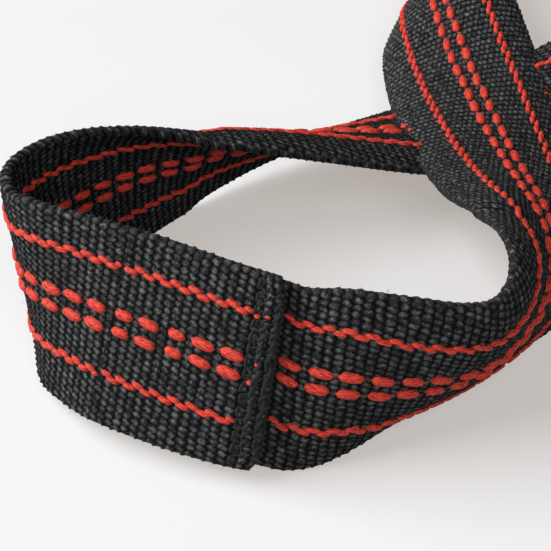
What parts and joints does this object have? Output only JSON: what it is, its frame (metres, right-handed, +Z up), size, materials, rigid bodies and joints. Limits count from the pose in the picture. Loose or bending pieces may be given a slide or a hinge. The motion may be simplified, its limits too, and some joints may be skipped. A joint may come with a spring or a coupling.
{
  "type": "figure-eight lifting strap",
  "caption": "Thick woven cotton band sewn into one loop with a lapped, hemmed joint and folded into an eight: two standing wrist loops joined by a flat crossing of two strands.",
  "frame": {"origin": "under the point where the two strands cross, on the surface that the strap rests on, which is the bottom centre of the overall box", "axes": "+X along the eight from lobe one to lobe two, +Y across the lobes, +Z up"},
  "size_m": [0.2457, 0.1146, 0.0399],
  "materials": {
    "black_webbing": "thick plain-woven black cotton webbing, matt and slightly fuzzy",
    "red_yarn": "plump twisted red cotton warp floats, matt",
    "black_thread": "black sewing thread, slight sheen"
  },
  "bodies": {
    "root": {"webbing_band": "black_webbing"}
  },
  "joints": []
}
